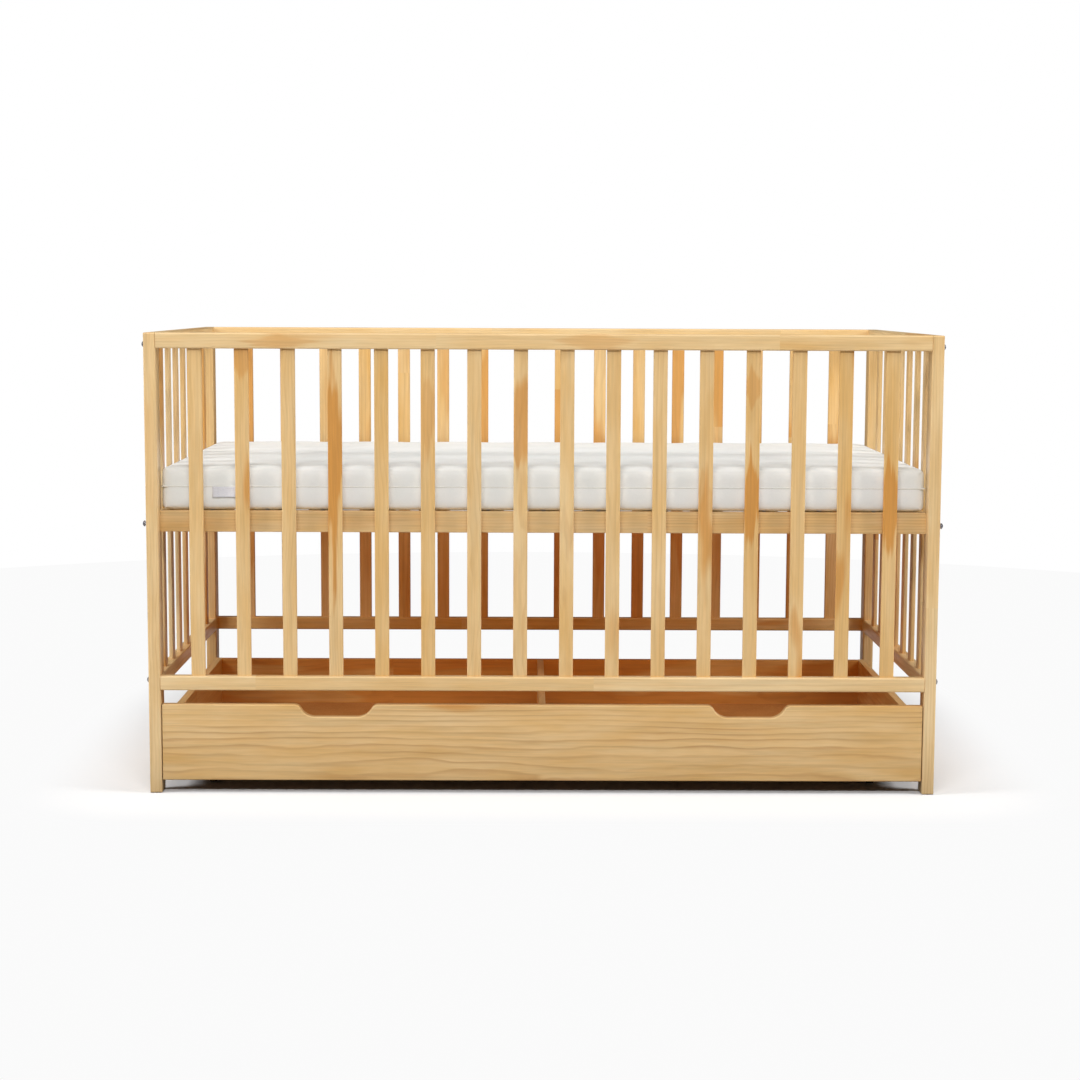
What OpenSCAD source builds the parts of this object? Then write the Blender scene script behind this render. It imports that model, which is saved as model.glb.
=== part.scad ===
// Cot bed with fixed slatted sides, a slatted mattress base and a rolling drawer below.
// X runs along the cot, Y from the front side to the back side, and Z up from the floor.
// The origin is on the floor under the middle of the cot. All sizes are in millimetres.

/* [Cot] */
// Length over the corner posts
cot_length = 1446; // [1436:1:1456]
// Width over the front and back sides
cot_width = 752; // [746:1:760]
// Height of the corner posts
cot_height = 845; // [820:1:870]

/* [Corner posts] */
// Post thickness along the cot
post_x = 22; // [20:1:26]
// Post depth across the cot
post_y = 40; // [38:1:44]
// Rounding of the post edges
post_r = 2.5; // [1:0.5:4]

/* [Rails] */
// Thickness of the side and end rails
rail_t = 22; // [20:1:24]
// Height of the top rails
top_rail_h = 28.4; // [27:0.2:32]
// Height of the bottom rails
bottom_rail_h = 26.4; // [25:0.2:30]
// Underside of the bottom rails above the floor
bottom_rail_z = 191.6; // [186:0.2:200]
// Rounding of the rails' long edges
rail_r = 3; // [1:0.5:4]

/* [Slats] */
// Slats in the front side, and in the back side
side_slats = 16; // [15:1:16]
// Spacing of the side slats, centre to centre
side_pitch = 84.3; // [80:0.1:86]
// Slats in each end panel
end_slats = 7; // [6:1:7]
// Width of a slat's face
slat_w = 25.7; // [24:0.1:30]
// Thickness of a slat
slat_t = 8; // [7:0.5:10]
// Rounding of the slat edges
slat_r = 2; // [1:0.25:2.5]

/* [Mattress base] */
// Middle of the base's side rails above the floor, in the highest of its three positions
base_z = 501.5; // [500:0.5:510]
// Drop from one base position to the next
base_step = 138; // [130:1:138]
// Height of the base's rails
base_rail_h = 39; // [36:1:42]
// Thickness of the base's rails
base_rail_t = 20; // [18:1:20]
// Slats in the base
base_slats = 13; // [11:1:14]
// Width of a base slat
base_slat_w = 55; // [45:1:60]
// Thickness of a base slat
base_slat_t = 10; // [8:1:12]

/* [Mattress] */
// Mattress length
mattress_l = 1398; // [1380:1:1398]
// Mattress width
mattress_w = 698; // [680:1:702]
// Mattress thickness
mattress_t = 80; // [60:1:100]

/* [Drawer] */
// Underside of the drawer front above the floor
front_z = 24; // [20:1:30]
// Height of the drawer front
front_h = 141.5; // [130:0.5:145]
// Thickness of the drawer front
front_t = 18; // [16:1:20]
// Top of the drawer's sides, back and divider above the floor
box_top = 143; // [130:1:150]
// Thickness of the drawer's sides and back
box_t = 15; // [12:1:16]
// Outer width of the drawer box
box_w = 1388; // [1340:1:1392]
// Depth of the drawer, from its front face to its back
drawer_d = 646; // [600:1:700]
// Distance of each finger notch's middle from the drawer's middle
notch_x = 380; // [300:5:420]
// Depth of a finger notch
notch_h = 23; // [15:0.5:28]

/* [Castors] */
// Wheel radius
wheel_r = 15; // [14:0.5:15]
// Wheel width
wheel_w = 14; // [10:1:18]
// Axle radius
axle_r = 2.5; // [2:0.1:3]

/* [Hidden] */
$fn = 32;

// Inner faces of the posts, and the planes that the rails and posts are centred on
inner_x = cot_length / 2 - post_x;
inner_y = cot_width / 2 - rail_t;
post_mid_x = cot_length / 2 - post_x / 2;
post_mid_y = cot_width / 2 - post_y / 2;
rail_mid_y = cot_width / 2 - rail_t / 2;
end_rail_l = cot_width - 2 * post_y;

// Levels of the rails
bottom_rail_top = bottom_rail_z + bottom_rail_h;
top_rail_z = cot_height - top_rail_h;

// Slats: how far each end enters its rail, and the pitch of the end panels
tongue = 8;
slat_z = bottom_rail_top - tongue;
slat_l = top_rail_z - bottom_rail_top + 2 * tongue;
end_pitch = (end_rail_l + slat_w) / (end_slats + 1);

// Tenons on the ends of the end rails
tenon_l = 10;
tenon_t = 12;
tenon_h = 18;

// Rail bolts: M6 with a low domed head, drawn into a cross-drilled barrel nut
bolt_r = 3;
bolt_hole_r = 3.25;
bolt_grip = 34;
bolt_tip = 8;
bolt_hole_l = bolt_grip + bolt_tip + 4;
head_r = 5.4;
head_h = 4.2;
dome_r = 6.75;
socket_r = 2.3;
socket_h = 1.8;
top_bolt_z = cot_height - 21;
bottom_bolt_z = bottom_rail_z + 18.4;

// Barrel nuts: length, the part of it beyond the bolt's axis, and their holes
nut_r = 5;
nut_l = 12;
nut_beyond = 5;
nut_hole_r = 5.15;
nut_hole_l = 26;
nut_slack = 0.5;

// The base's bolts run a little below the middle of its rails and stand off the posts
base_bolt_z = base_z - 5.5;
base_shank_out = 7;
base_rail_mid_y = inner_y - 1 - base_rail_t / 2;
base_top = base_z + base_rail_h / 2;
base_tenon_l = 5;
base_slat_gap = (2 * (inner_x - base_rail_t) - base_slats * base_slat_w) / (base_slats + 1);
housing = 12;

// Wooden dowels beside the rail bolts
dowel_r = 3;
dowel_hole_r = 3;
dowel_in = 14;
top_dowel_z = cot_height - 8;
bottom_dowel_z = bottom_rail_z + 7;

// Mattress: the cover's corners, edges and thickness, and the slack around the core
mattress_z = base_top + 0.5;
corner_r = 14;
edge_r = 10;
cover_t = 2.5;
core_gap = 0.4;
seam_z = mattress_z + 43.5;
label_size = [42.5, 0.6, 19.5];
label_x = -605;

// Drawer levels and planes
drawer_face_y = -cot_width / 2 + 1;
front_w = 2 * inner_x - 3;
front_back_y = drawer_face_y + front_t;
box_back_y = drawer_face_y + drawer_d;
box_z = 31;
floor_z = 46;
floor_t = 3;
groove = 5;
divider_t = 13;
batten_w = 60;
batten_t = 12;
batten_in = 80;
batten_ys = [front_back_y + batten_in, box_back_y - batten_in];
drawer_dowel_r = 4;
drawer_dowel_zs = [70, 120];

// Finger notch: flat bottom, a wide concave bend and a tight convex one
notch_flat = 76;
notch_run = 39;
notch_turn = 2 * atan(notch_h / notch_run);
notch_r_sum = notch_run / sin(notch_turn);
notch_r_low = notch_r_sum * 0.7;
notch_r_high = notch_r_sum - notch_r_low;
arc_steps = 10;

// Castors
castor_x = 620;
ear_gap = 15.4;
ear_t = 1.5;
ear_w = 16;
plate_t = 1.5;
plate_w = 50;
castor_top = floor_z - batten_t;
axle_fit = 0.05;
castors = [
    ["front_left", -castor_x, batten_ys[0]],
    ["front_right", castor_x, batten_ys[0]],
    ["rear_left", -castor_x, batten_ys[1]],
    ["rear_right", castor_x, batten_ys[1]]
];

// Countersunk wood screws
screw_r = 2;
screw_head_r = 4;
screw_head_h = 2.4;
base_screw_l = 24;
drawer_screw_l = 28;
castor_screw_l = 10;

rail_pine = "burlywood";
slat_pine = "tan";
drawer_pine = "#DDB57C";
zinc = "silver";

// ---- Shared shapes ----

// A rectangle with rounded corners, centred
module round_rect(w, d, r) {
    square([w - 2 * r, d], center = true);
    square([w, d - 2 * r], center = true);
    for (x = [-1, 1], y = [-1, 1])
        translate([x * (w / 2 - r), y * (d / 2 - r)])
            circle(r);
}

// A box with all twelve edges rounded, centred; plan_r rounds the upright edges
module eased_box(size, r, plan_r) {
    intersection() {
        linear_extrude(size.z, center = true) round_rect(size.x, size.y, plan_r);
        rotate([90, 0, 90]) linear_extrude(size.x, center = true) round_rect(size.y, size.z, r);
        rotate([90, 0, 0]) linear_extrude(size.y, center = true) round_rect(size.x, size.z, r);
    }
}

// A bar along X, centred, with its long edges rounded
module bar_x(l, w, h, r) {
    rotate([90, 0, 90]) linear_extrude(l, center = true) round_rect(w, h, r);
}

// A bar along Y, centred, with its long edges rounded
module bar_y(l, w, h, r) {
    rotate([90, 0, 0]) linear_extrude(l, center = true) round_rect(w, h, r);
}

// A rod along X from x, going towards the side that dir gives
module rod_x(x, y, z, l, r, dir) {
    translate([x, y, z]) rotate([0, 90 * dir, 0]) cylinder(h = l, r = r);
}

// Puts an upright shape at the place of a barrel nut in a side rail
module at_rail_nut(sx, sy, z) {
    translate([sx * (inner_x - bolt_grip), sy * rail_mid_y, z]) children();
}

// Puts an upright shape at the place of a barrel nut in the base, lying with its top outwards
module at_base_nut(sx, sy) {
    translate([sx * (inner_x - bolt_grip), sy * base_rail_mid_y, base_bolt_z])
        rotate([-90 * sy, 0, 0]) children();
}

// A blind hole for a barrel nut, open below
module nut_hole() {
    translate([0, 0, nut_beyond + nut_slack - nut_hole_l]) cylinder(h = nut_hole_l, r = nut_hole_r);
}

// A countersunk screw with the top of its head at the origin, pointing down; slack widens its hole
module screw(l, slack = 0) {
    translate([0, 0, -l]) cylinder(h = l, r = screw_r + slack);
    translate([0, 0, -screw_head_h])
        cylinder(h = screw_head_h, r1 = screw_r + slack, r2 = screw_head_r + slack);
}

// ---- Corner posts ----

// Holes that the rail bolts, base bolts and dowels of one corner need; sx and sy are its signs
module post_holes(sx, sy) {
    for (z = [top_bolt_z, bottom_bolt_z])
        rod_x(sx * (inner_x - 1), sy * rail_mid_y, z, post_x + 2, bolt_hole_r, sx);
    for (i = [0:2])
        translate([0, 0, -i * base_step])
            rod_x(sx * (inner_x - 1), sy * base_rail_mid_y, base_bolt_z, post_x + 2, bolt_hole_r, sx);
    for (z = [top_dowel_z, bottom_dowel_z])
        rod_x(sx * inner_x, sy * rail_mid_y, z, dowel_in, dowel_hole_r, sx);
}

module post(sx, sy) {
    color(rail_pine) difference() {
        translate([sx * post_mid_x, sy * post_mid_y, cot_height / 2])
            eased_box([post_x, post_y, cot_height], post_r, post_r);
        post_holes(sx, sy);
        end_rail_tenons(sx, top_rail_z, top_rail_h);
        end_rail_tenons(sx, bottom_rail_z, bottom_rail_h);
    }
}

// ---- Front and back sides ----

// Centre of side slat i along X
function side_slat_x(i) = (i - (side_slats - 1) / 2) * side_pitch;

module side_slat(i, sy) {
    translate([side_slat_x(i), sy * rail_mid_y, slat_z])
        linear_extrude(slat_l) round_rect(slat_w, slat_t, slat_r);
}

// Bolt, nut and dowel holes in both ends of a side rail
module side_rail_holes(sy, bolt_z, dowel_z) {
    for (sx = [-1, 1]) {
        rod_x(sx * (inner_x + 1), sy * rail_mid_y, bolt_z, bolt_hole_l, bolt_hole_r, -sx);
        rod_x(sx * inner_x, sy * rail_mid_y, dowel_z, dowel_in, dowel_hole_r, -sx);
        at_rail_nut(sx, sy, bolt_z) nut_hole();
    }
}

module side_rail(sy, z, h, bolt_z, dowel_z) {
    color(rail_pine) difference() {
        translate([0, sy * rail_mid_y, z + h / 2]) bar_x(2 * inner_x, rail_t, h, rail_r);
        side_rail_holes(sy, bolt_z, dowel_z);
        for (i = [0:side_slats - 1]) side_slat(i, sy);
    }
}

module side_top_rail(sy) {
    side_rail(sy, top_rail_z, top_rail_h, top_bolt_z, top_dowel_z);
}

module side_bottom_rail(sy) {
    side_rail(sy, bottom_rail_z, bottom_rail_h, bottom_bolt_z, bottom_dowel_z);
}

// ---- End panels ----

module end_slat(i, sx) {
    translate([sx * post_mid_x, (i - (end_slats - 1) / 2) * end_pitch, slat_z])
        linear_extrude(slat_l) round_rect(slat_t, slat_w, slat_r);
}

module end_panel_slats(sx) {
    color(slat_pine) for (i = [0:end_slats - 1]) end_slat(i, sx);
}

module end_rail_tenons(sx, z, h) {
    translate([sx * post_mid_x, 0, z + h / 2])
        cube([tenon_t, end_rail_l + 2 * tenon_l, tenon_h], center = true);
}

module end_rail(sx, z, h) {
    color(rail_pine) difference() {
        union() {
            translate([sx * post_mid_x, 0, z + h / 2]) bar_y(end_rail_l, rail_t, h, rail_r);
            end_rail_tenons(sx, z, h);
        }
        for (i = [0:end_slats - 1]) end_slat(i, sx);
    }
}

// ---- Mattress base ----

// Centre of base slat i along X, with equal gaps between slats and end rails
function base_slat_x(i) = (i - (base_slats - 1) / 2) * (base_slat_w + base_slat_gap);

module base_slat(i) {
    translate([base_slat_x(i), 0, base_top - base_slat_t / 2])
        bar_y(2 * (base_rail_mid_y - base_rail_t / 2 + housing), base_slat_w, base_slat_t, 2);
}

module base_screw(i, sy, slack = 0) {
    translate([base_slat_x(i), sy * (base_rail_mid_y - base_rail_t / 2 + housing / 2), base_top])
        screw(base_screw_l, slack);
}

module all_base_screws(slack = 0) {
    for (i = [0:base_slats - 1], sy = [-1, 1]) base_screw(i, sy, slack);
}

module base_slat_set() {
    color(slat_pine) difference() {
        for (i = [0:base_slats - 1]) base_slat(i);
        all_base_screws(0.1);
    }
}

// Its stub tenons stop short of the base bolts
module base_end_rail(sx) {
    l = 2 * base_rail_mid_y - base_rail_t;
    color(slat_pine) translate([sx * (inner_x - base_rail_t / 2), 0, base_z]) {
        bar_y(l, base_rail_t, base_rail_h, 1.5);
        cube([tenon_t, l + 2 * base_tenon_l, base_rail_h - 16], center = true);
    }
}

module base_side_rail(sy) {
    color(slat_pine) difference() {
        translate([0, sy * base_rail_mid_y, base_z])
            bar_x(2 * inner_x, base_rail_t, base_rail_h, 1.5);
        for (i = [0:base_slats - 1]) base_slat(i);
        all_base_screws(0.1);
        for (sx = [-1, 1]) {
            base_end_rail(sx);
            rod_x(sx * (inner_x + 1), sy * base_rail_mid_y, base_bolt_z, bolt_hole_l, bolt_hole_r, -sx);
            at_base_nut(sx, sy) nut_hole();
        }
    }
}

// ---- Mattress ----

module mattress_form(inset) {
    translate([0, 0, mattress_z + mattress_t / 2])
        eased_box(
            [mattress_l - 2 * inset, mattress_w - 2 * inset, mattress_t - 2 * inset],
            edge_r - inset,
            corner_r - inset
        );
}

module mattress_cover() {
    color("white") difference() {
        mattress_form(0);
        mattress_form(cover_t);
    }
}

module mattress_core() {
    color("ivory") mattress_form(cover_t + core_gap);
}

module mattress_label() {
    color("whitesmoke")
        translate([label_x, -mattress_w / 2 - label_size.y, seam_z - label_size.z])
            cube(label_size);
}

// ---- Drawer ----

// Arc of a finger notch's outline, from angle a to angle b around (x, z)
function arc(x, z, r, a, b) =
    [for (i = [0:arc_steps]) let (t = a + (b - a) * i / arc_steps) [x + r * cos(t), z + r * sin(t)]];

// Right half of a notch outline, from its flat bottom to the drawer front's top, about x = 0
notch_half = concat(
    arc(notch_flat / 2, notch_r_low - notch_h, notch_r_low, -90, notch_turn - 90),
    arc(notch_flat / 2 + notch_run, -notch_r_high, notch_r_high, notch_turn + 90, 90)
);
notch_outline = concat(
    notch_half,
    [[notch_flat / 2 + notch_run, 10], [-notch_flat / 2 - notch_run, 10]],
    [for (i = [len(notch_half) - 1:-1:0]) [-notch_half[i].x, notch_half[i].y]]
);

module notch(x) {
    translate([x, drawer_face_y + front_t / 2, front_z + front_h])
        rotate([90, 0, 0]) linear_extrude(front_t + 2, center = true) polygon(notch_outline);
}

module drawer_front() {
    color(drawer_pine) difference() {
        translate([0, drawer_face_y + front_t / 2, front_z + front_h / 2])
            eased_box([front_w, front_t, front_h], 2, 2);
        for (sx = [-1, 1]) notch(sx * notch_x);
        floor_panel(-1);
        floor_panel(1);
        all_drawer_dowels();
    }
}

module all_drawer_dowels() {
    for (x = [-(box_w - box_t) / 2, 0, (box_w - box_t) / 2], z = drawer_dowel_zs)
        translate([x, front_back_y, z])
            rotate([90, 0, 0]) cylinder(h = 24, r = drawer_dowel_r, center = true);
}

// Screws that hold the back and the battens to the sides, and the castors to the battens
module all_drawer_screws(slack = 0) {
    for (sx = [-1, 1]) {
        for (z = [60, 115])
            translate([sx * box_w / 2, box_back_y - box_t / 2, z])
                rotate([0, 90 * sx, 0]) screw(drawer_screw_l, slack);
        for (y = batten_ys)
            translate([sx * box_w / 2, y, floor_z - batten_t / 2])
                rotate([0, 90 * sx, 0]) screw(drawer_screw_l, slack);
    }
    for (c = castors, x = [-1, 1], y = [-1, 1])
        translate([c[1] + x * 18, c[2] + y * 18, castor_top - plate_t])
            rotate([180, 0, 0]) screw_pan(castor_screw_l, slack);
}

// A pan-head screw with the underside of its head at the origin, pointing down
module screw_pan(l, slack = 0) {
    translate([0, 0, -l]) cylinder(h = l, r = 1.6 + slack);
    cylinder(h = 1.8, r = 3.4);
}

module drawer_side(sx) {
    l = box_back_y - front_back_y;
    color(drawer_pine) difference() {
        translate([sx * (box_w - box_t) / 2, front_back_y + l / 2, (box_z + box_top) / 2])
            bar_y(l, box_t, box_top - box_z, 1.5);
        floor_panel(sx);
        all_drawer_screws(0.1);
        all_drawer_dowels();
    }
}

module drawer_back() {
    color(drawer_pine) difference() {
        translate([0, box_back_y - box_t / 2, (box_z + box_top) / 2])
            bar_x(box_w - 2 * box_t, box_t, box_top - box_z, 1.5);
        floor_panel(-1);
        floor_panel(1);
        all_drawer_screws(0.1);
    }
}

module drawer_divider() {
    l = box_back_y - box_t - front_back_y;
    z = floor_z + floor_t;
    color(drawer_pine) difference() {
        translate([0, front_back_y + l / 2, (z + box_top) / 2])
            bar_y(l, divider_t, box_top - z, 1.5);
        all_drawer_dowels();
    }
}

// Half of the drawer's floor, let into grooves in the front, back and side
module floor_panel(sx) {
    w = box_w / 2 - box_t + groove - 0.25;
    y0 = front_back_y - groove;
    y1 = box_back_y - box_t + groove;
    color("peru")
        translate([sx > 0 ? 0.25 : -0.25 - w, y0, floor_z])
            cube([w, y1 - y0, floor_t]);
}

module drawer_battens() {
    color(drawer_pine) difference() {
        for (y = batten_ys)
            translate([0, y, floor_z - batten_t / 2])
                bar_x(box_w - 2 * box_t, batten_w, batten_t, 1.5);
        all_drawer_screws(0.1);
    }
}

// ---- Castors ----

module castor_ear(side) {
    x = side * (ear_gap + ear_t) / 2;
    translate([x, 0, 0]) rotate([0, 90, 0])
        cylinder(h = ear_t, r = ear_w / 2, center = true);
    translate([x - ear_t / 2, -ear_w / 2, 0])
        cube([ear_t, ear_w, castor_top - wheel_r - plate_t / 2]);
}

// One bracket about its own axle
module castor_bracket() {
    difference() {
        union() {
            for (side = [-1, 1]) castor_ear(side);
            translate([-plate_w / 2, -plate_w / 2, castor_top - wheel_r - plate_t])
                cube([plate_w, plate_w, plate_t]);
        }
        rotate([0, 90, 0]) cylinder(h = 2 * ear_gap, r = axle_r, center = true);
    }
}

module castor_brackets() {
    color(zinc) difference() {
        for (c = castors) translate([c[1], c[2], wheel_r]) castor_bracket();
        all_drawer_screws(0.1);
    }
}

// Riveted axle pin with a flat head on each side
module axle_pin() {
    rotate([0, 90, 0]) cylinder(h = ear_gap + 2 * ear_t, r = axle_r, center = true);
    for (side = [-1, 1])
        translate([side * (ear_gap / 2 + ear_t + 0.6), 0, 0])
            rotate([0, 90, 0]) cylinder(h = 1.2, r = 4, center = true);
}

module castor_axles() {
    color(zinc) for (c = castors) translate([c[1], c[2], wheel_r]) axle_pin();
}

// Wheel with chamfered tread and a raised hub
module castor_wheel(i) {
    c = castors[i];
    bore = axle_r + axle_fit;
    half = wheel_w / 2;
    color("dimgray") translate([c[1], c[2], wheel_r]) rotate([0, 90, 0])
        rotate_extrude()
            polygon([
                [bore, -half], [6, -half], [6, 1.5 - half], [wheel_r - 4, 1.5 - half],
                [wheel_r - 3, -half], [wheel_r - 1.5, -half], [wheel_r, 1.5 - half],
                [wheel_r, half - 1.5], [wheel_r - 1.5, half], [wheel_r - 3, half],
                [wheel_r - 4, half - 1.5], [6, half - 1.5], [6, half], [bore, half]
            ]);
}

// ---- Fasteners ----

// Low domed bolt head with a hexagon socket, its underside at the origin, facing +Z
module bolt_head() {
    difference() {
        intersection() {
            cylinder(h = head_h, r = head_r);
            translate([0, 0, head_h - dome_r]) sphere(dome_r);
        }
        translate([0, 0, head_h - socket_h]) cylinder(h = 2 * socket_h, r = socket_r, $fn = 6);
    }
}

// A bolt through a post into a rail; out is the length of bare shank under its head
module rail_bolt(sx, y, z, out) {
    tip = inner_x - bolt_grip - bolt_tip;
    rod_x(sx * tip, y, z, cot_length / 2 + out + 0.5 - tip, bolt_r, sx);
    translate([sx * (cot_length / 2 + out), y, z]) rotate([0, 90 * sx, 0]) bolt_head();
}

module side_rail_bolts() {
    color(zinc) for (sx = [-1, 1], sy = [-1, 1], z = [top_bolt_z, bottom_bolt_z])
        rail_bolt(sx, sy * rail_mid_y, z, 0);
}

module base_bolts() {
    color(zinc) for (sx = [-1, 1], sy = [-1, 1])
        rail_bolt(sx, sy * base_rail_mid_y, base_bolt_z, base_shank_out);
}

// Upright barrel nut, cross-drilled along X at the origin
module barrel_nut() {
    difference() {
        translate([0, 0, nut_beyond - nut_l]) cylinder(h = nut_l, r = nut_r);
        rotate([0, 90, 0]) cylinder(h = 4 * nut_r, r = bolt_r, center = true);
    }
}

module barrel_nuts() {
    color(zinc) for (sx = [-1, 1], sy = [-1, 1]) {
        for (z = [top_bolt_z, bottom_bolt_z]) at_rail_nut(sx, sy, z) barrel_nut();
        at_base_nut(sx, sy) barrel_nut();
    }
}

module rail_dowels() {
    color("wheat") for (sx = [-1, 1], sy = [-1, 1], z = [top_dowel_z, bottom_dowel_z])
        rod_x(sx * (inner_x - dowel_in), sy * rail_mid_y, z, 2 * dowel_in, dowel_r, sx);
}

// ---- The cot ----

post(-1, -1);  // post_front_left
post(1, -1);  // post_front_right
post(-1, 1);  // post_rear_left
post(1, 1);  // post_rear_right
side_top_rail(-1);  // front_top_rail
side_bottom_rail(-1);  // front_bottom_rail
side_top_rail(1);  // back_top_rail
side_bottom_rail(1);  // back_bottom_rail
end_rail(-1, top_rail_z, top_rail_h);  // end_top_rail_left
end_rail(1, top_rail_z, top_rail_h);  // end_top_rail_right
end_rail(-1, bottom_rail_z, bottom_rail_h);  // end_bottom_rail_left
end_rail(1, bottom_rail_z, bottom_rail_h);  // end_bottom_rail_right
for (i = [1:side_slats])
    color(slat_pine) side_slat(i - 1, -1);
color(slat_pine) for (i = [1:side_slats]) side_slat(i - 1, 1);  // back_slats
end_panel_slats(-1);  // end_slats_left
end_panel_slats(1);  // end_slats_right
base_side_rail(-1);  // base_rail_front
base_side_rail(1);  // base_rail_back
base_end_rail(-1);  // base_end_rail_left
base_end_rail(1);  // base_end_rail_right
base_slat_set();  // base_slats
color(zinc) all_base_screws();  // base_slat_screws
mattress_cover();
mattress_core();
mattress_label();
drawer_front();
drawer_side(-1);  // drawer_side_left
drawer_side(1);  // drawer_side_right
drawer_back();
drawer_divider();
floor_panel(-1);  // drawer_floor_left
floor_panel(1);  // drawer_floor_right
drawer_battens();
color("wheat") all_drawer_dowels();  // drawer_dowels
color(zinc) all_drawer_screws();  // drawer_screws
castor_brackets();
castor_axles();
castor_wheel(0);  // castor_wheel_front_left
castor_wheel(1);  // castor_wheel_front_right
castor_wheel(2);  // castor_wheel_rear_left
castor_wheel(3);  // castor_wheel_rear_right
side_rail_bolts();
base_bolts();
barrel_nuts();
rail_dowels();
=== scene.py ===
"""Cot bed in lacquered pine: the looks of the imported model, in metres, in the CAD model's frame."""

import math

import bmesh
import bpy
from mathutils import Matrix, Vector


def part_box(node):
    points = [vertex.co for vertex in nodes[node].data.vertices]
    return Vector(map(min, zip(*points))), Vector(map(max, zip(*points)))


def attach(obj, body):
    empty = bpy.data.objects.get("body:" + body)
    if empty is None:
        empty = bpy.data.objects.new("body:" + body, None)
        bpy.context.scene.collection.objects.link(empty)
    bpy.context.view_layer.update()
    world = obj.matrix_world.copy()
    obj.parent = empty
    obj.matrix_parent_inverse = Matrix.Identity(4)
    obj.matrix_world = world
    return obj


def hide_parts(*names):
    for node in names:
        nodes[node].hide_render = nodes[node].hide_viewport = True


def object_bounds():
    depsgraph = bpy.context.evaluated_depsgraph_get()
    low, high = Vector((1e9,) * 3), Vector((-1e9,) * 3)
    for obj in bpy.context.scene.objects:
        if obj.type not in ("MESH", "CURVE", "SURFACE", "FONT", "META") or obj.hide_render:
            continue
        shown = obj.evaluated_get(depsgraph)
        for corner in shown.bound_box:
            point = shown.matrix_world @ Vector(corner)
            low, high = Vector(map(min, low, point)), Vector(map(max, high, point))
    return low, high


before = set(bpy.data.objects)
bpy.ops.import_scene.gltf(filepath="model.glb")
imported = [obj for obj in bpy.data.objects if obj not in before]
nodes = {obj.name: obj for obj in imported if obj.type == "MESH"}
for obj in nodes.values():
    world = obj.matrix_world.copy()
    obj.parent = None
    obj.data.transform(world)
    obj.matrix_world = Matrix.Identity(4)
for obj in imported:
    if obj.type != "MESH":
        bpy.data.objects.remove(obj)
cad_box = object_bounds()


# ---------------------------------------------------------------- helpers

def srgb(code):
    """Linear RGBA of a colour written as six hex digits."""
    values = [int(code[i:i + 2], 16) / 255 for i in (0, 2, 4)]
    linear = [v / 12.92 if v <= 0.04045 else ((v + 0.055) / 1.055) ** 2.4 for v in values]
    return (*linear, 1.0)


def middle(node):
    """Centre of a CAD node's box."""
    low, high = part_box(node)
    return (low + high) / 2


def new_piece(name, bm):
    """A linked object, and its mesh of the same name, from a bmesh."""
    mesh = bpy.data.meshes.new(name)
    bm.to_mesh(mesh)
    bm.free()
    piece = bpy.data.objects.new(name, mesh)
    bpy.context.scene.collection.objects.link(piece)
    return piece


def shade_smooth(piece):
    for polygon in piece.data.polygons:
        polygon.use_smooth = True


class Tree:
    """Builds one material's nodes; a value may be a socket, a number or a tuple."""

    def __init__(self, name):
        self.material = bpy.data.materials.new(name)
        self.material.use_nodes = True
        self.tree = self.material.node_tree
        self.tree.nodes.clear()
        self.output = self.tree.nodes.new("ShaderNodeOutputMaterial")

    def add(self, kind, inputs=(), **settings):
        node = self.tree.nodes.new(kind)
        for key, value in settings.items():
            setattr(node, key, value)
        for key, value in dict(inputs).items():
            if isinstance(value, bpy.types.NodeSocket):
                self.tree.links.new(value, node.inputs[key])
            else:
                node.inputs[key].default_value = value
        return node

    def math(self, operation, a, b=0.0, clamp=False):
        node = self.add("ShaderNodeMath", {0: a, 1: b}, operation=operation, use_clamp=clamp)
        return node.outputs[0]

    def vector(self, operation, a, b):
        return self.add("ShaderNodeVectorMath", {0: a, 1: b}, operation=operation).outputs[0]

    def noise(self, vector, scale=1.0, detail=2.0, roughness=0.5):
        inputs = {"Vector": vector, "Scale": scale, "Detail": detail, "Roughness": roughness}
        return self.add("ShaderNodeTexNoise", inputs).outputs["Fac"]

    def random(self, vector, seed):
        """White noise (value, colour) of a vector and a seed."""
        node = self.add("ShaderNodeTexWhiteNoise", {"Vector": vector, "W": seed},
                        noise_dimensions="4D")
        return node.outputs["Value"], node.outputs["Color"]

    def ramp(self, value, stops):
        """A grey that eases through (position, grey) stops as the value rises."""
        node = self.add("ShaderNodeValToRGB", {"Fac": value})
        node.color_ramp.interpolation = "EASE"
        elements = node.color_ramp.elements
        while len(elements) < len(stops):
            elements.new(0.5)
        for element, (position, grey) in zip(elements, stops):
            element.position = position
            element.color = (grey, grey, grey, 1)
        return node.outputs["Color"]

    def mix(self, factor, a, b, blend="MIX"):
        node = self.add("ShaderNodeMix", {0: factor, 6: a, 7: b}, data_type="RGBA",
                        blend_type=blend)
        return node.outputs[2]

    def finish(self, colour, roughness, height=None, strength=0.3, distance=0.0005, **sockets):
        inputs = {"Base Color": colour, "Roughness": roughness, **sockets}
        if height is not None:
            bump = self.add("ShaderNodeBump",
                            {"Height": height, "Strength": strength, "Distance": distance})
            inputs["Normal"] = bump.outputs["Normal"]
        shader = self.add("ShaderNodeBsdfPrincipled", inputs)
        self.tree.links.new(shader.outputs["BSDF"], self.output.inputs["Surface"])
        return self.material


# ---------------------------------------------------------------- materials

PINE = {"pale": srgb("F3D7A6"), "honey": srgb("E0B066"), "late": srgb("B4783A"),
        "heart": srgb("D4923F"), "knot": srgb("6A3F1E")}
ORDER = {"X": ("Y", "Z", "X"), "Y": ("X", "Z", "Y"), "Z": ("X", "Y", "Z")}


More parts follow.
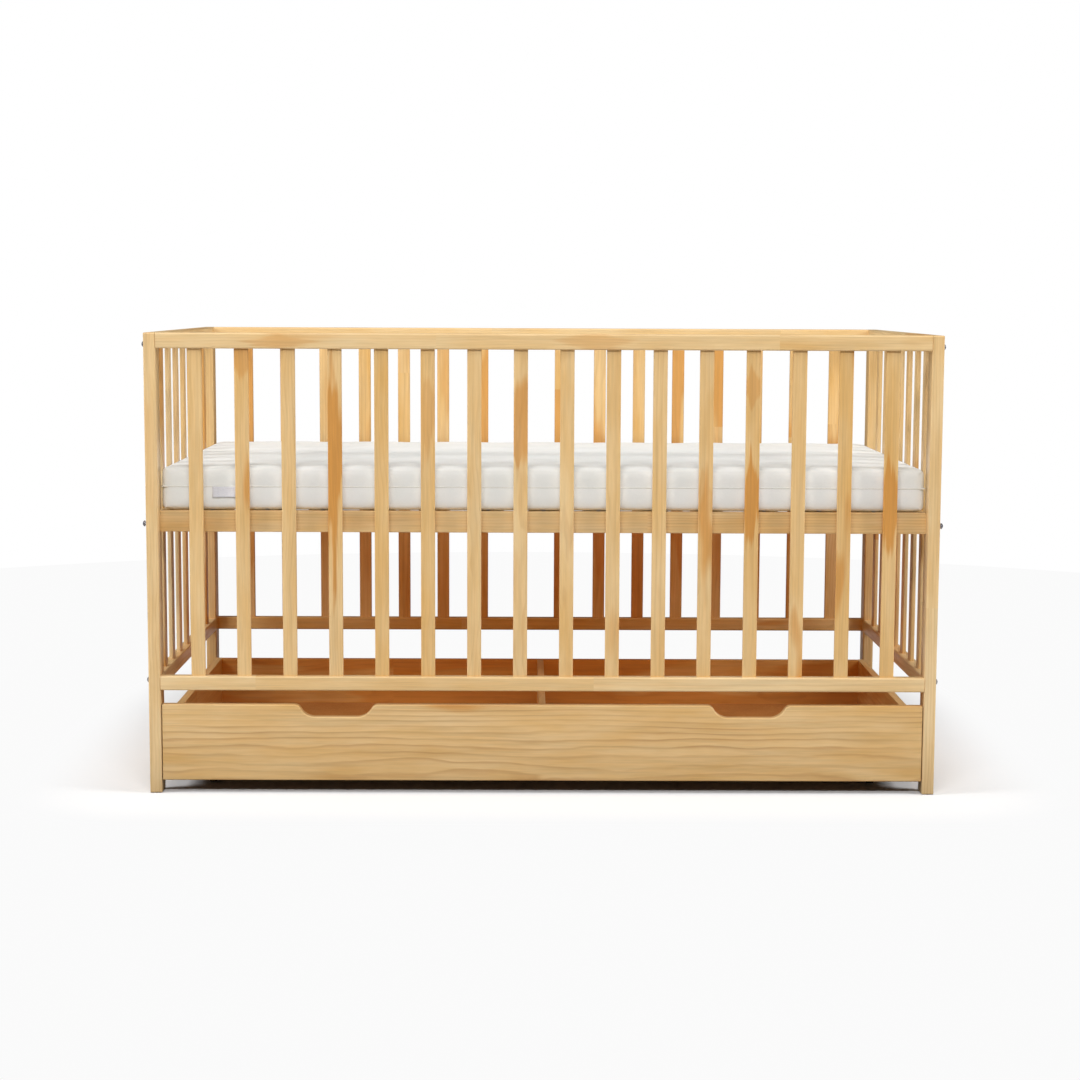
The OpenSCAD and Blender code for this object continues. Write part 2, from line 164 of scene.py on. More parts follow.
def pine(name, grain, seed, heart=0.35, ring=0.0048, late=0.30, block=1.1, wave=0.012, tone=0.5,
         cells=None, knots=0.12, flames=(), beside=0.0):
    """Lacquered finger-jointed pine with its grain along one axis.

    heart is the share of orange heartwood, ring the spacing of the growth rings, block the length
    between finger joints, knots the share of places that have a pin knot, cells the (axis, pitch,
    phase) of a row of slats in one node, and flames the stretches (from, to, strength) along the
    grain that a pointed flame of heartwood fills, its middle at beside across the grain."""
    t = Tree(name)
    place = t.add("ShaderNodeTexCoord").outputs["Object"]
    axes = t.add("ShaderNodeSeparateXYZ", {0: place}).outputs
    across, through, along = [axes[a] for a in ORDER[grain]]
    cell = 0.0
    if cells:
        axis, pitch, phase = cells
        cell = t.math("FLOOR", t.math("ADD", t.math("DIVIDE", axes[axis], pitch), phase))
    cell_key = t.add("ShaderNodeCombineXYZ", {0: cell, 1: 3.0}).outputs[0]
    cell_value, _ = t.random(cell_key, seed)
    shifted = t.math("ADD", along, t.math("MULTIPLY", cell_value, 1.7))
    joint = t.math("FLOOR", t.math("DIVIDE", shifted, block))
    block_key = t.add("ShaderNodeCombineXYZ", {0: cell, 1: joint, 2: 7.0}).outputs[0]
    block_value, block_colour = t.random(block_key, seed + 0.5)
    rnd = t.add("ShaderNodeSeparateColor", {0: block_colour}).outputs

    # Each block has its own stretch of wood
    offset = t.vector("MULTIPLY", block_colour, (5.0, 5.0, 5.0))
    local = t.add("ShaderNodeCombineXYZ", {0: across, 1: through, 2: along}).outputs[0]
    wood = t.vector("ADD", local, offset)
    slow = t.vector("MULTIPLY", wood, (16.0, 16.0, 3.4))
    warp = t.math("MULTIPLY", t.math("SUBTRACT", t.noise(slow, 1.0, 3.0, 0.5), 0.5), 2 * wave)

    # Growth rings round a pith that lies beside the board
    pith_a = t.math("MULTIPLY", t.math("SUBTRACT", rnd[0], 0.5), 0.10)
    pith_t = t.math("ADD", t.math("MULTIPLY", rnd[1], 0.07), 0.035)
    ring_a = t.math("ADD", t.math("ADD", across, pith_a), warp)
    ring_t = t.math("ADD", t.math("ADD", through, pith_t), warp)
    if grain == "X":
        ring_a, ring_t = (t.math("ADD", t.math("ADD", across, pith_t), warp),
                          t.math("ADD", t.math("ADD", through, pith_a), warp))
    flat = t.add("ShaderNodeCombineXYZ", {0: ring_a, 1: ring_t}).outputs[0]
    distance = t.add("ShaderNodeVectorMath", {0: flat}, operation="LENGTH").outputs["Value"]
    phase = t.math("FRACT", t.math("DIVIDE", distance, ring))
    rings = t.ramp(phase, [(0.0, 0.0), (0.5, 0.18), (0.86, 1.0), (1.0, 0.0)])
    fade = t.ramp(t.noise(t.vector("MULTIPLY", wood, (22.0, 22.0, 2.5)), 1.0, 2.0),
                  [(0.3, 0.25), (0.7, 1.0)])
    rings = t.math("MULTIPLY", rings, fade)

    fibre = t.noise(t.vector("MULTIPLY", wood, (700.0, 700.0, 22.0)), 1.0, 3.0, 0.6)
    streak = t.noise(t.vector("MULTIPLY", wood, (120.0, 120.0, 5.0)), 1.0, 2.0, 0.6)
    cloud = t.noise(t.vector("MULTIPLY", wood, (30.0, 30.0, 6.0)), 1.0, 3.0, 0.55)
    flame = t.noise(t.vector("ADD", t.vector("MULTIPLY", wood, (20.0, 20.0, 3.2)), (3.3, 1.7, 9.1)),
                    1.0, 2.0, 0.45)

    base = t.math("ADD", t.math("MULTIPLY", t.math("SUBTRACT", cloud, 0.5), 1.1),
                  t.math("ADD", t.math("MULTIPLY", t.math("SUBTRACT", block_value, 0.5), 0.30), tone),
                  clamp=True)
    colour = t.mix(base, PINE["pale"], PINE["honey"])
    edge = 0.66 - 0.26 * heart
    flame = t.ramp(flame, [(edge - 0.02, 0.0), (edge + 0.07, 1.0)])
    flame = t.math("MULTIPLY", flame, t.ramp(rnd[2], [(0.25, 0.20), (0.75, 0.75)]))
    sway = t.math("ADD", t.math("MULTIPLY", t.math("SUBTRACT", cloud, 0.5), 1.3),
                  t.math("MULTIPLY", t.math("SUBTRACT", streak, 0.5), 1.5))
    for start, end, strength in flames:
        reach = t.math("DIVIDE", t.math("SUBTRACT", along, (start + end) / 2), (end - start) / 2)
        aside = t.math("SUBTRACT", through if grain == "X" else across, beside)
        aside = t.math("DIVIDE", t.math("ABSOLUTE", aside), 0.03)
        spread = t.math("ADD", t.math("ADD", t.math("ABSOLUTE", reach), aside), sway)
        flame = t.math("MAXIMUM", flame, t.math("MULTIPLY", t.ramp(spread, [(0.66, 1.0), (1.0, 0.0)]),
                                                strength))
    colour = t.mix(flame, colour, PINE["heart"])
    colour = t.mix(t.math("MULTIPLY", rings, late), colour, PINE["late"])
    dark = t.ramp(streak, [(0.30, 0.90), (0.62, 1.0)])
    colour = t.mix(1.0, colour, dark, "MULTIPLY")
    colour = t.mix(0.10, colour, t.ramp(fibre, [(0.3, 0.35), (0.7, 1.0)]), "MULTIPLY")

    # A few pin knots
    spot = t.add("ShaderNodeTexVoronoi", {"Vector": t.vector("MULTIPLY", wood, (14.0, 14.0, 5.0)),
                                          "Scale": 1.0})
    chance = t.add("ShaderNodeSeparateColor", {0: spot.outputs["Color"]}).outputs[0]
    knot = t.math("MULTIPLY", t.ramp(spot.outputs["Distance"], [(0.03, 0.8), (0.055, 0.0)]),
                  t.math("LESS_THAN", chance, knots))
    colour = t.mix(knot, colour, PINE["knot"])

    roughness = t.ramp(streak, [(0.3, 0.46), (0.7, 0.36)])
    height = t.math("ADD", t.math("MULTIPLY", rings, -0.35), t.math("MULTIPLY", fibre, 0.5))
    return t.finish(colour, roughness, height, 0.35, 0.00025,
                    **{"Coat Weight": 0.18, "Coat Roughness": 0.28, "Specular IOR Level": 0.42})


def board(name):
    """The drawer's thin floor: warm brown hardboard with a faint fibre."""
    t = Tree(name)
    place = t.add("ShaderNodeTexCoord").outputs["Object"]
    fibre = t.noise(place, 420.0, 4.0, 0.65)
    cloud = t.noise(place, 9.0, 3.0, 0.5)
    colour = t.mix(t.ramp(cloud, [(0.3, 0.0), (0.7, 1.0)]), srgb("C48C4E"), srgb("B47C40"))
    colour = t.mix(t.ramp(fibre, [(0.35, 0.35), (0.65, 0.0)]), colour, srgb("8A5828"))
    return t.finish(colour, t.ramp(fibre, [(0.3, 0.62), (0.7, 0.5)]), fibre, 0.25, 0.0002)


def steel(name):
    """Zinc-plated steel with a faint spangle and rubbed patches."""
    t = Tree(name)
    place = t.add("ShaderNodeTexCoord").outputs["Object"]
    fine = t.noise(place, 900.0, 3.0, 0.6)
    cloud = t.noise(place, 120.0, 2.0, 0.5)
    colour = t.mix(t.ramp(cloud, [(0.35, 0.0), (0.65, 1.0)]), srgb("B4B4BC"), srgb("8E8C96"))
    roughness = t.ramp(fine, [(0.3, 0.28), (0.7, 0.46)])
    return t.finish(colour, roughness, fine, 0.15, 0.0001, Metallic=1.0)


def plastic(name):
    """Moulded castor plastic: charcoal, fine texture, a little dust."""
    t = Tree(name)
    place = t.add("ShaderNodeTexCoord").outputs["Object"]
    grain = t.noise(place, 1500.0, 2.0, 0.5)
    dust = t.ramp(t.noise(place, 90.0, 4.0, 0.6), [(0.5, 0.0), (0.8, 0.35)])
    colour = t.mix(dust, srgb("2C2C2E"), srgb("6A6762"))
    return t.finish(colour, t.ramp(grain, [(0.3, 0.42), (0.7, 0.58)]), grain, 0.2, 0.0001)


KNIT = 0.0022       # spacing of the cover's knitted ribs


def cover_fabric(name):
    """Off-white jersey with fine knitted ribs and painted shade in the ribs' hollows; the quilting is
    in the cover's shape.
    """
    t = Tree(name)
    place = t.add("ShaderNodeTexCoord").outputs["Object"]
    x, y, z = t.add("ShaderNodeSeparateXYZ", {0: place}).outputs
    level = t.math("ADD", y, z)
    rib = t.math("SINE", t.math("MULTIPLY", x, 2 * math.pi / KNIT))
    course = t.math("SINE", t.math("MULTIPLY", level, 2 * math.pi / (1.4 * KNIT)))
    knit = t.math("MULTIPLY", t.math("ADD", t.math("MULTIPLY", rib, course), 1.0), 0.5)
    fuzz = t.noise(place, 260.0, 4.0, 0.65)
    cloud = t.noise(place, 11.0, 3.0, 0.5)
    colour = t.mix(t.ramp(cloud, [(0.3, 0.0), (0.7, 1.0)]), srgb("F6F7F5"), srgb("EFF1EE"))
    # Painted shade: the colour darkens where the knit dips, the same places that the bump lowers
    colour = t.mix(t.ramp(knit, [(0.0, 0.10), (0.6, 0.0)]), colour, srgb("D2D5D4"))
    colour = t.mix(t.ramp(fuzz, [(0.3, 0.08), (0.55, 0.0)]), colour, srgb("DADCDB"))
    height = t.math("ADD", t.math("MULTIPLY", knit, 0.6), fuzz)
    return t.finish(colour, t.ramp(fuzz, [(0.3, 0.86), (0.7, 0.74)]), height, 0.3, 0.0006,
                    **{"Sheen Weight": 0.25, "Sheen Roughness": 0.5, "Specular IOR Level": 0.2})


def tape(name, light, dark, pitch):
    """Woven tape for the piping and the label, with painted shade where the weave dips."""
    t = Tree(name)
    place = t.add("ShaderNodeTexCoord").outputs["Object"]
    x, y, z = t.add("ShaderNodeSeparateXYZ", {0: place}).outputs
    run = t.math("ADD", x, y)
    weave = t.math("SINE", t.math("MULTIPLY", t.math("ADD", run, z), 2 * math.pi / pitch))
    weave = t.math("MULTIPLY", t.math("ADD", weave, 1.0), 0.5)
    fuzz = t.noise(place, 300.0, 3.0, 0.6)
    # Painted shade: the colour goes toward the dark tone where the weave is lowest, as the bump is
    colour = t.mix(t.ramp(weave, [(0.0, 0.6), (1.0, 0.0)]), srgb(light), srgb(dark))
    colour = t.mix(t.ramp(fuzz, [(0.3, 0.2), (0.6, 0.0)]), colour, srgb(dark))
    return t.finish(colour, t.ramp(fuzz, [(0.3, 0.8), (0.7, 0.65)]), weave, 0.4, 0.0003,
                    **{"Sheen Weight": 0.2})


def paint(material, *names):
    """Gives CAD nodes one material."""
    for name in names:
        data = nodes[name].data
        data.materials.clear()
        data.materials.append(material)


# Posts and rails: the side rails run along X, the end rails along Y, the posts stand
paint(pine("pine_post_fl", "Z", 1.0, heart=0.25, tone=0.35), "post_front_left")
paint(pine("pine_post_fr", "Z", 2.0, heart=0.3, tone=0.35), "post_front_right")
paint(pine("pine_post_rear", "Z", 3.0, heart=0.3), "post_rear_left", "post_rear_right")
RAILS = {"front_top_rail": (0.35, [(-0.56, -0.40, 0.4), (0.02, 0.17, 0.3)]),
         "front_bottom_rail": (0.35, []), "back_top_rail": (0.5, []), "back_bottom_rail": (0.7, [])}
for i, (rail, (tone, flames)) in enumerate(RAILS.items()):
    paint(pine("pine_" + rail, "X", 5.0 + i, heart=0.2, tone=tone, late=0.16, block=0.62,
               flames=flames, beside=middle(rail).z + 0.002), rail)
for i, side in enumerate(("left", "right")):
    paint(pine("pine_end_" + side, "Y", 11.0 + i, heart=0.3, tone=0.35),
          "end_top_rail_" + side, "end_bottom_rail_" + side)

# Slats: the front ones differ in how much heartwood they show, and seven have pointed flames
END_SLATS = 7             # slats in each end
BASE_SLAT_PITCH = 0.1012  # spacing of the base's slats
HEART = {2: 0.2, 6: 0.3, 9: 0.0, 10: 0.2, 13: 0.0, 14: 0.2, 15: 0.0, 16: 0.0}
FLAMES = {2: [(0.74, 0.85, 0.6)], 4: [(0.38, 0.83, 0.9)], 6: [(0.62, 0.78, 0.4)],
          8: [(0.60, 0.74, 0.7)], 12: [(0.49, 0.60, 0.4)],
          13: [(0.45, 0.64, 0.9), (0.71, 0.79, 0.5)], 16: [(0.44, 0.65, 0.9)]}
front_slats = sorted((n for n in nodes if n.startswith("front_slat_")), key=lambda n: middle(n).x)
for i, slat in enumerate(front_slats, 1):
    paint(pine("pine_" + slat, "Z", 20.0 + i, heart=HEART.get(i, 0.1), tone=0.6, late=0.22, block=3.0,
               flames=FLAMES.get(i, ()), beside=middle(slat).x - 0.004), slat)
side_pitch = middle(front_slats[1]).x - middle(front_slats[0]).x
end_low, end_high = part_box("end_slats_left")
slat_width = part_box(front_slats[0])[1].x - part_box(front_slats[0])[0].x
end_pitch = (end_high.y - end_low.y - slat_width) / (END_SLATS - 1)
paint(pine("pine_back_slats", "Z", 41.0, heart=0.6, tone=0.65, cells=("X", side_pitch, 0.0)),
      "back_slats")
for i, side in enumerate(("left", "right")):
    paint(pine("pine_end_slats_" + side, "Z", 43.0 + i, heart=0.5, tone=0.4,
               cells=("Y", end_pitch, 0.5)), "end_slats_" + side)

# Mattress base
for i, side in enumerate(("front", "back")):
    paint(pine("pine_base_rail_" + side, "X", 51.0 + i, heart=0.5, tone=0.5, late=0.36),
          "base_rail_" + side)
paint(pine("pine_base_ends", "Y", 53.0, heart=0.4, tone=0.5), "base_end_rail_left",
      "base_end_rail_right")
paint(pine("pine_base_slats", "Y", 54.0, heart=0.4, tone=0.5, cells=("X", BASE_SLAT_PITCH, 0.5)),
      "base_slats")

# Drawer
paint(pine("pine_drawer_sides", "Y", 61.0, heart=0.35, tone=0.6, block=0.5), "drawer_side_left",
      "drawer_side_right", "drawer_divider")
paint(pine("pine_drawer_back", "X", 62.0, heart=0.9, tone=1.0), "drawer_back")
paint(pine("pine_drawer_battens", "X", 63.0, heart=0.3, tone=0.6), "drawer_battens")
paint(board("drawer_board"), "drawer_floor_left", "drawer_floor_right")
paint(pine("dowel_wood", "X", 71.0, heart=0.1, tone=0.3), "rail_dowels")
paint(pine("dowel_wood_drawer", "Y", 72.0, heart=0.1, tone=0.3), "drawer_dowels")
paint(steel("zinc_steel"), "side_rail_bolts", "base_bolts", "barrel_nuts", "base_slat_screws",
      "drawer_screws", "castor_brackets", "castor_axles")
paint(plastic("castor_plastic"), *[n for n in nodes if n.startswith("castor_wheel_")])
cover_material = cover_fabric("mattress_jersey")
paint(cover_material, "mattress_core")


# ---------------------------------------------------------------- drawer front

NOTCH_X = 0.380          # middle of each finger notch, from the drawer's middle
NOTCH_FLAT = 0.076       # its flat bottom
NOTCH_RUN = 0.039        # length of each sloping side
NOTCH_DEPTH = 0.023      # depth of the flat bottom below the board's top
LOW_SHARE = 0.7          # share of the bend that the wide, lower arc takes
ARC_STEPS = 12           # straight steps in each arc
EASED = 0.0022           # width of the board's eased edges


def arc(x, z, r, a, b):
    """Points on an arc about (x, z), from angle a to angle b."""
    angles = [a + (b - a) * i / ARC_STEPS for i in range(ARC_STEPS + 1)]
    return [(x + r * math.cos(q), z + r * math.sin(q)) for q in angles]


def notch_edge():
    """From the middle of the flat to the board's top, about x = 0, with z = 0 at the top."""
    turn = 2 * math.atan(NOTCH_DEPTH / NOTCH_RUN)
    both = NOTCH_RUN / math.sin(turn)
    low, high = both * LOW_SHARE, both * (1 - LOW_SHARE)
    return (arc(NOTCH_FLAT / 2, low - NOTCH_DEPTH, low, -math.pi / 2, turn - math.pi / 2)
            + arc(NOTCH_FLAT / 2 + NOTCH_RUN, -high, high, turn + math.pi / 2, math.pi / 2)[1:])


def drawer_front():
    """The board with its notches, and all of its edges eased."""
    low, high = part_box("drawer_front")
    half = notch_edge()
    notch = [(-x, z) for x, z in reversed(half)] + half
    top = [(low.x, high.z)]
    for centre in (-NOTCH_X, NOTCH_X):
        top += [(centre + x, high.z + z) for x, z in notch]
    outline = top + [(high.x, high.z), (high.x, low.z), (low.x, low.z)]
    bm = bmesh.new()
    rings = [[bm.verts.new((x, y, z)) for x, z in outline] for y in (low.y, high.y)]
    bm.faces.new(rings[0])
    bm.faces.new(list(reversed(rings[1])))
    count = len(outline)
    for i in range(count):
        j = (i + 1) % count
        bm.faces.new((rings[0][j], rings[0][i], rings[1][i], rings[1][j]))
    bmesh.ops.recalc_face_normals(bm, faces=bm.faces)
    piece = new_piece("drawer_front_board", bm)
    bevel = piece.modifiers.new("eased_edges", "BEVEL")
    bevel.width = EASED
    bevel.segments = 4
    bevel.limit_method = "ANGLE"
    bevel.angle_limit = math.radians(35)
    bevel.harden_normals = True
    shade_smooth(piece)
    wood = pine("pine_drawer_front", "X", 64.0, heart=0.0, ring=0.0054, late=0.50, block=3.0,
                wave=0.013, tone=0.5, knots=0.0)
    piece.data.materials.append(wood)
    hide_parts("drawer_front")
    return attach(piece, "drawer")


drawer_front()


# ---------------------------------------------------------------- mattress

QUILT = 0.105           # spacing of the quilting lines
QUILT_SLANT = 1.35      # how much a quilting line moves along for each step across
SEAM_RISE = 0.0435      # the side seam, above the mattress's underside
VOXEL = 0.0085          # size of the cover's even faces
CORNER = 0.007          # radius of its upright corners
EDGE = 0.007            # rounding of its long edges
PUFF = 0.0045           # how far the cover may swell from its starting shape
START_INSET = 0.0008    # how far the starting shape lies inside the CAD solid
SETTLE = 0.0004         # how far it settles onto its base
PIN_WIDTH = 0.006       # half-width of the strip that a row of stitches holds down
FACE_BAND = 0.004       # depth of the bands that count as the top and the underside
FRAMES = 20             # steps of the cloth simulation
PIPING_RADIUS = 0.0013
PIPING_OUT = 0.0003     # how far the piping's middle lies outside the starting shape
TAG_THICKNESS = 0.0006


def quilt_distance(x, y):
    """Distance from a point on the top to the nearest line of diamond quilting."""
    best = 1.0
    for direction in (1, -1):
        d = (x + direction * QUILT_SLANT * y) / math.hypot(1, QUILT_SLANT)
        d = abs((d + QUILT / 2) % QUILT - QUILT / 2)
        best = min(best, d)
    return best


def rounded_ring(half_x, half_y, radius, steps=10):
    """Points of a rounded rectangle, anticlockwise."""
    points = []
    for k, (sx, sy) in enumerate(((1, 1), (-1, 1), (-1, -1), (1, -1))):
        for i in range(steps + 1):
            a = math.pi / 2 * (k + i / steps)
            points.append((sx * (half_x - radius) + radius * math.cos(a),
                           sy * (half_y - radius) + radius * math.sin(a)))
    return points


def stretch(piece, want):
    """Stretches a mesh along X, Y and Z to fill the (least, most) pairs in want."""
    points = [v.co for v in piece.data.vertices]
    small = [[pick(p[k] for p in points) for pick in (min, max)] for k in range(3)]
    for p in points:
        for k in range(3):
            share = (p[k] - small[k][0]) / (small[k][1] - small[k][0])
            p[k] = want[k][0] + share * (want[k][1] - want[k][0])


def swell(piece, low, high):
    """Swells the cover by a cloth simulation; its underside, seam and quilting stay held."""
    seam = low.z + SEAM_RISE
    start = [v.co.copy() for v in piece.data.vertices]
    held = piece.vertex_groups.new(name="stitched")
    for v in piece.data.vertices:
        x, y, z = v.co
        on_top = z > high.z - FACE_BAND
        stitched = quilt_distance(x, y) < PIN_WIDTH if on_top else abs(z - seam) < PIN_WIDTH
        if stitched or z < low.z + FACE_BAND:
            held.add([v.index], 1.0, "REPLACE")
    cloth = piece.modifiers.new("cloth", "CLOTH")
    settings = cloth.settings
    settings.quality = 4
    settings.mass = 0.3
    settings.tension_stiffness = 12
    settings.compression_stiffness = 12
    settings.bending_stiffness = 0.4
    settings.use_pressure = True
    settings.uniform_pressure_force = 4
    settings.vertex_group_mass = held.name
    settings.effector_weights.gravity = 0
    cloth.collision_settings.use_collision = False
    cloth.point_cache.frame_start = 1
    cloth.point_cache.frame_end = FRAMES
    for number in range(1, FRAMES + 1):
        bpy.context.scene.frame_set(number)
    bpy.ops.object.modifier_apply(modifier=cloth.name)
    bpy.context.scene.frame_set(1)
    for v, before in zip(piece.data.vertices, start):
        move = v.co - before
        if move.length > PUFF:
            move *= PUFF / move.length
        v.co = before + move
        v.co.z = max(v.co.z, low.z - SETTLE)


def mattress_cover():
    """The cover, swollen by a cloth simulation between its stitched lines."""
    low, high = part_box("mattress_cover")
    centre = (low + high) / 2
    half = (high - low) / 2
    bm = bmesh.new()
    # Start from one closed, rounded box, a little smaller than the CAD solid
    levels = []
    for i in range(7):
        a = math.pi / 2 * i / 6
        levels.append((START_INSET + EDGE * (1 - math.sin(a)), -half.z + EDGE * (1 - math.cos(a))))
    levels += [(inset, -z) for inset, z in reversed(levels)]
    rings = []
    for inset, z in levels:
        ring = rounded_ring(half.x - inset, half.y - inset, CORNER - inset * 0.5)
        rings.append([bm.verts.new((centre.x + x, centre.y + y, centre.z + z)) for x, y in ring])
    bm.faces.new(list(reversed(rings[0])))
    bm.faces.new(rings[-1])
    count = len(rings[0])
    for below, above in zip(rings, rings[1:]):
        for i in range(count):
            j = (i + 1) % count
            bm.faces.new((below[i], below[j], above[j], above[i]))
    bmesh.ops.triangulate(bm, faces=[f for f in bm.faces if len(f.verts) > 4])
    bmesh.ops.recalc_face_normals(bm, faces=bm.faces)
    piece = new_piece("mattress_fabric", bm)
    bpy.context.view_layer.objects.active = piece
    piece.select_set(True)
    remesh = piece.modifiers.new("even_mesh", "REMESH")
    remesh.mode = "VOXEL"
    remesh.voxel_size = VOXEL
    bpy.ops.object.modifier_apply(modifier=remesh.name)
    # The even mesh comes out a little small: stretch it to the size meant, down to the slats
    stretch(piece, [(low.x + START_INSET, high.x - START_INSET),
                    (low.y + START_INSET, high.y - START_INSET), (low.z - SETTLE, high.z)])
    swell(piece, low, high)
    smooth = piece.modifiers.new("relax", "SMOOTH")
    smooth.factor = 0.4
    smooth.iterations = 2
    subdivision = piece.modifiers.new("fine", "SUBSURF")
    subdivision.levels = 1
    subdivision.render_levels = 1
    shade_smooth(piece)
    piece.data.materials.clear()
    piece.data.materials.append(cover_material)
    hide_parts("mattress_cover")
    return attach(piece, "mattress")


def piping():
    """The corded seam that runs round the mattress."""
    low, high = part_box("mattress_cover")
    half_x = (high.x - low.x) / 2 - START_INSET + PIPING_OUT
    half_y = (high.y - low.y) / 2 - START_INSET + PIPING_OUT
    curve = bpy.data.curves.new("mattress_piping", "CURVE")
    curve.dimensions = "3D"
    curve.bevel_depth = PIPING_RADIUS
    curve.bevel_resolution = 3
    points = rounded_ring(half_x, half_y, CORNER, 8)
    spline = curve.splines.new("POLY")
    spline.points.add(len(points) - 1)
    for point, (x, y) in zip(spline.points, points):
        point.co = (x, y, low.z + SEAM_RISE, 1)
    spline.use_cyclic_u = True
    piece = bpy.data.objects.new("mattress_piping", curve)
    bpy.context.scene.collection.objects.link(piece)
    curve.materials.append(tape("piping_tape", "F3F3EE", "D8D8D2", 0.0016))
    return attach(piece, "mattress")


def label(cover):
    """A blank woven label, sewn in under the seam; its lower edge stands out."""
    low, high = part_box("mattress_label")
    face = high.y + START_INSET
    bpy.context.view_layer.update()
    fabric = cover.evaluated_get(bpy.context.evaluated_depsgraph_get())
    columns, rows = 16, 8
    bm = bmesh.new()
    grid = []
    for j in range(rows + 1):
        v = j / rows
        row = []
        for i in range(columns + 1):
            u = i / columns
            lift = 0.0022 * v ** 2 + 0.0006 * v * math.sin(2.6 * math.pi * u)
            x = low.x + (high.x - low.x) * u
            z = high.z - (high.z - low.z) * v
            hit, at, _, _ = fabric.ray_cast(Vector((x, face - 0.1, z)), Vector((0, 1, 0)))
            y = min(face, at.y) if hit else face
            row.append(bm.verts.new((x, y - 0.0007 - lift, z)))
        grid.append(row)
    for above, below in zip(grid, grid[1:]):
        for i in range(columns):
            bm.faces.new((above[i], below[i], below[i + 1], above[i + 1]))
    piece = new_piece("mattress_tag", bm)
    solid = piece.modifiers.new("cloth_thickness", "SOLIDIFY")
    solid.thickness = TAG_THICKNESS
    solid.offset = 0
    shade_smooth(piece)
    piece.data.materials.append(tape("label_tape", "F0F0F4", "C4C5D0", 0.0011))
    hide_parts("mattress_label")
    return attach(piece, "mattress")


fabric_cover = mattress_cover()
piping()
label(fabric_cover)


# ---------------------------------------------------------------- stage

FLOOR_RADIUS = 3.4


def stage_floor():
    """A pale floor that keeps the cot's shadow close by and fades to white away from it."""
    bpy.ops.mesh.primitive_circle_add(vertices=96, radius=FLOOR_RADIUS, fill_type="NGON",
                                      location=(0, 0, -0.0002))
    floor = bpy.context.active_object
    floor.name = "stage_floor"
    t = Tree("floor_paper")
    x, y, _ = t.add("ShaderNodeSeparateXYZ",
                    {0: t.add("ShaderNodeTexCoord").outputs["Object"]}).outputs
    beside = t.math("MAXIMUM", t.math("SUBTRACT", t.math("ABSOLUTE", x), cad_box[1].x), 0.0)
    before = t.math("MAXIMUM", t.math("SUBTRACT", cad_box[0].y, y), 0.0)
    behind = t.math("MAXIMUM", t.math("SUBTRACT", y, cad_box[1].y), 0.0)
    depth = t.math("ADD", before, t.math("MULTIPLY", behind, 0.3))
    away = t.math("SQRT", t.math("ADD", t.math("MULTIPLY", beside, beside),
                                 t.math("MULTIPLY", depth, depth)))
    fade = t.ramp(away, [(0.0, 0.0), (0.24, 1.0)])
    paper = t.add("ShaderNodeBsdfDiffuse", {"Color": (0.95, 0.955, 0.965, 1)})
    glow = t.add("ShaderNodeEmission", {"Color": (1, 1, 1, 1), "Strength": 0.96})
    shown = t.add("ShaderNodeMixShader", {0: fade, 1: paper.outputs[0], 2: glow.outputs[0]})
    # The floor throws back less light than it shows, which keeps the underside dark
    dim = t.add("ShaderNodeBsdfDiffuse", {"Color": t.mix(fade, (0.22, 0.20, 0.18, 1),
                                                         (0.62, 0.61, 0.60, 1))})
    path = t.add("ShaderNodeLightPath")
    blend = t.add("ShaderNodeMixShader",
                  {0: path.outputs["Is Camera Ray"], 1: dim.outputs[0], 2: shown.outputs[0]})
    t.tree.links.new(blend.outputs[0], t.output.inputs["Surface"])
    floor.data.materials.append(t.material)


def area_light(name, place, target, size, power, colour=(1, 1, 1)):
    light = bpy.data.lights.new(name, "AREA")
    light.shape = "RECTANGLE"
    light.size, light.size_y = size
    light.energy = power
    light.color = colour
    lamp = bpy.data.objects.new(name, light)
    lamp.location = place
    aim = Vector(target) - Vector(place)
    lamp.rotation_euler = aim.to_track_quat("-Z", "Y").to_euler()
    lamp.visible_camera = False
    bpy.context.scene.collection.objects.link(lamp)


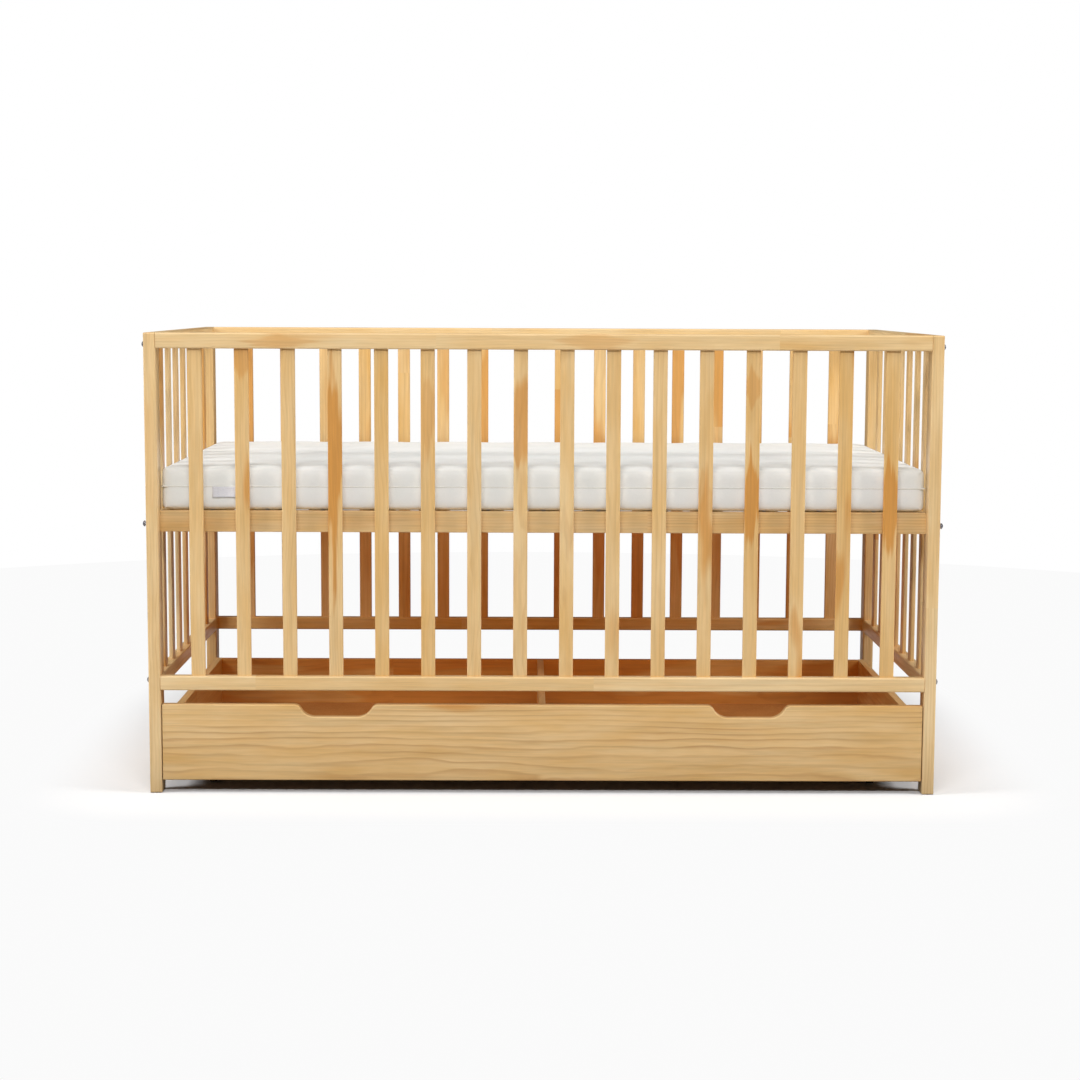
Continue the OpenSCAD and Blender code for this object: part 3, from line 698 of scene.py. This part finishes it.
def surroundings(sight, light):
    """White surroundings, which light the scene less than they show."""
    world = bpy.data.worlds.new("studio")
    bpy.context.scene.world = world
    world.use_nodes = True
    tree = world.node_tree
    tree.nodes.clear()
    output = tree.nodes.new("ShaderNodeOutputWorld")
    path = tree.nodes.new("ShaderNodeLightPath")
    blend = tree.nodes.new("ShaderNodeMixShader")
    for i, strength in ((1, light), (2, sight)):
        background = tree.nodes.new("ShaderNodeBackground")
        background.inputs["Strength"].default_value = strength
        background.inputs["Color"].default_value = (1, 1, 1, 1)
        tree.links.new(background.outputs[0], blend.inputs[i])
    tree.links.new(path.outputs["Is Camera Ray"], blend.inputs[0])
    tree.links.new(blend.outputs[0], output.inputs["Surface"])


def camera():
    """Looks along +Y from in front, a little to the left and just above the top rail."""
    yaw, pitch, roll = 0.0073, 0.1129, -0.0042
    place = Vector((-0.0346, -4.234, 0.909))
    ahead = Vector((math.sin(yaw) * math.cos(pitch), math.cos(yaw) * math.cos(pitch),
                    -math.sin(pitch)))
    right = Vector((math.cos(yaw), -math.sin(yaw), 0))
    down = ahead.cross(right)
    right = math.cos(roll) * right + math.sin(roll) * down
    down = ahead.cross(right)
    data = bpy.data.cameras.new("camera")
    data.lens = 71.07
    data.sensor_width = 36
    lens = bpy.data.objects.new("camera", data)
    turn = Matrix((right, -down, -ahead)).transposed().to_4x4()
    lens.matrix_world = Matrix.Translation(place) @ turn
    bpy.context.scene.collection.objects.link(lens)
    bpy.context.scene.camera = lens


stage_floor()
area_light("key", (-0.3, -4.4, 3.45), (0, 0, 0.45), (3.6, 0.6), 140)
area_light("top", (0.0, 0.2, 3.2), (0, 0.1, 0.5), (3.0, 2.2), 26)
area_light("left", (-3.4, -1.2, 2.3), (0, 0, 0.6), (1.2, 1.6), 84)
area_light("right", (3.4, -1.2, 2.3), (0, 0, 0.6), (1.2, 1.6), 84)
area_light("warm_bounce", (0.0, -0.12, 0.44), (0, 0.38, 0.24), (1.25, 0.3), 1.0, (1.0, 0.40, 0.06))
surroundings(sight=1.0, light=0.05)
camera()
bpy.context.scene.view_settings.view_transform = "Standard"
